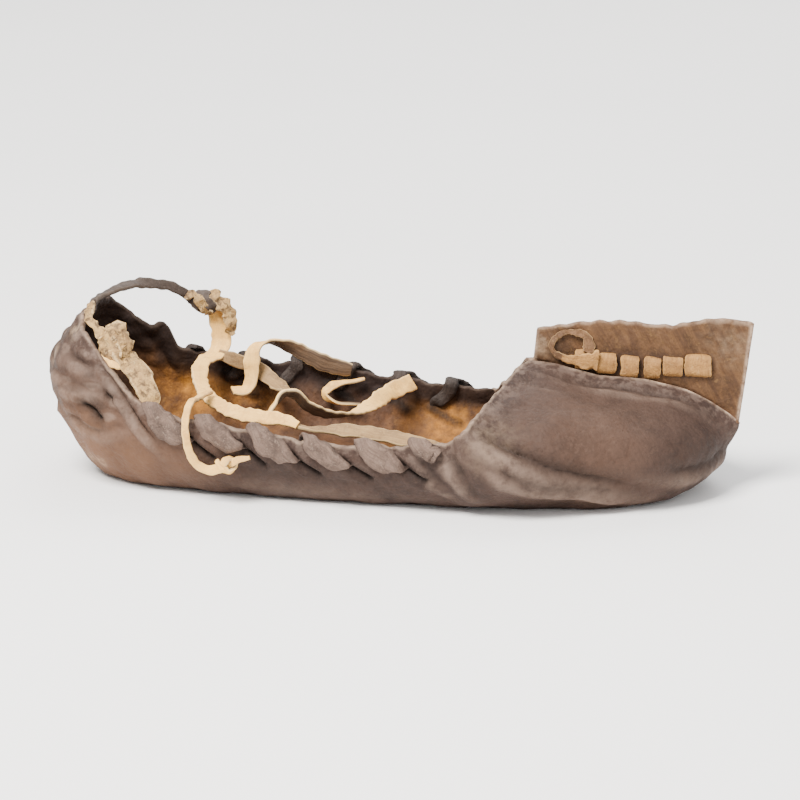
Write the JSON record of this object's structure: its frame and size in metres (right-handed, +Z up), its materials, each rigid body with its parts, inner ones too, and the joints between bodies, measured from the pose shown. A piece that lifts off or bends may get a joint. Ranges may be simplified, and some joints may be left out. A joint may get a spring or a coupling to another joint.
{
  "type": "abarca sandal",
  "caption": "Old folded rawhide abarca with a high heel, whip-laced rims, a sewn standing fin at the toe and loose cream leather laces over the open top.",
  "frame": {"origin": "on the floor under the middle of the shoe's bounding box", "axes": "+X runs to the toe, +Y to the wearer's left, +Z up from the sole"},
  "size_m": [0.2608, 0.1129, 0.0662],
  "materials": {
    "hide": "dry raw hide, worn and streaked",
    "dark_thong": "dark greasy strip of hide",
    "toe_thong": "pale dry strip of hide",
    "lace": "soft cream leather lace"
  },
  "bodies": {
    "root": {"hide": "hide", "near_rim_thong": "dark_thong", "far_rim_thong": "dark_thong", "toe_thong": "toe_thong", "toe_thong_end": "toe_thong", "lace_crossings": "lace", "standing_strap": "lace", "far_lace_loop": "lace", "hanging_loop": "lace", "ankle_thong": "dark_thong", "near_ankle_strap": "lace", "far_ankle_knot": "lace", "near_ankle_knot": "lace"}
  },
  "joints": []
}
